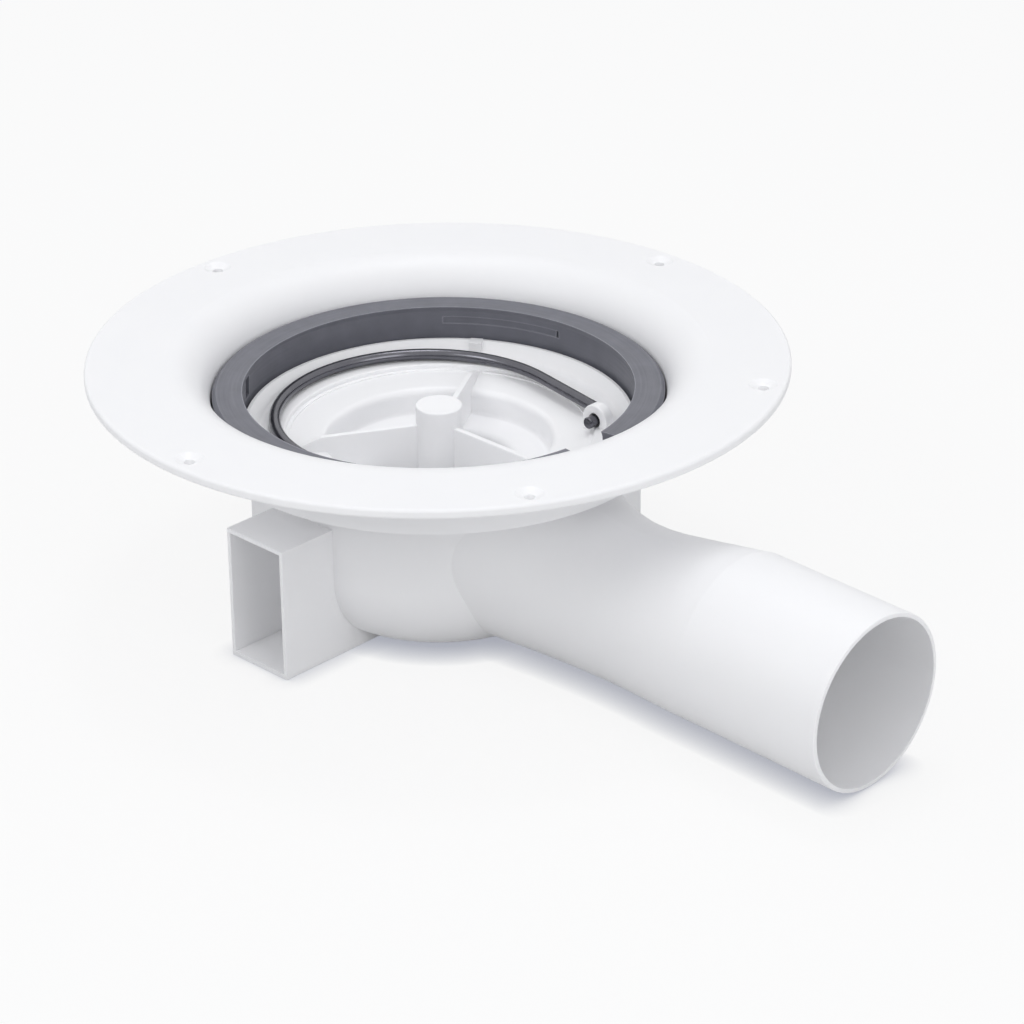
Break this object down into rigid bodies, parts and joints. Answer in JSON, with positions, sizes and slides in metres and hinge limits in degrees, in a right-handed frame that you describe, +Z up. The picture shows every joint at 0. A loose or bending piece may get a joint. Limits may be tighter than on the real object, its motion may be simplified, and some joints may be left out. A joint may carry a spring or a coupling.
{
  "type": "floor drain",
  "caption": "Round floor drain with wide flange, funnel, split clamp ring, lift-out water trap with a wire bail, and a side outlet spigot.",
  "frame": {"origin": "on the drain's vertical axis, at the flat underside of the bowl", "axes": "+Z up through the funnel, +X out along the outlet, whose own axis falls 1.5 degrees towards its end"},
  "size_m": [0.3863, 0.2948, 0.1131],
  "materials": {
    "body_plastic": "white moulded polypropylene, satin",
    "ring_plastic": "dark grey moulded plastic, matt",
    "insert_plastic": "white moulded polypropylene, satin",
    "cup_plastic": "white moulded polypropylene, satin",
    "seal_rubber": "black moulded rubber",
    "bail_wire": "bright drawn stainless wire"
  },
  "bodies": {
    "root": {"drain_body": "body_plastic", "clamp_ring": "ring_plastic", "trap_insert": "insert_plastic", "trap_cup": "cup_plastic", "trap_seal": "seal_rubber"},
    "bail": {"lifting_bail": "bail_wire"}
  },
  "joints": [
    {"name": "bail_hinge", "type": "hinge", "parent": "root", "child": "bail", "pos_m": [0.0473, 0, 0.082], "axis": [0, 1, 0], "range_deg": [0, 110]}
  ]
}
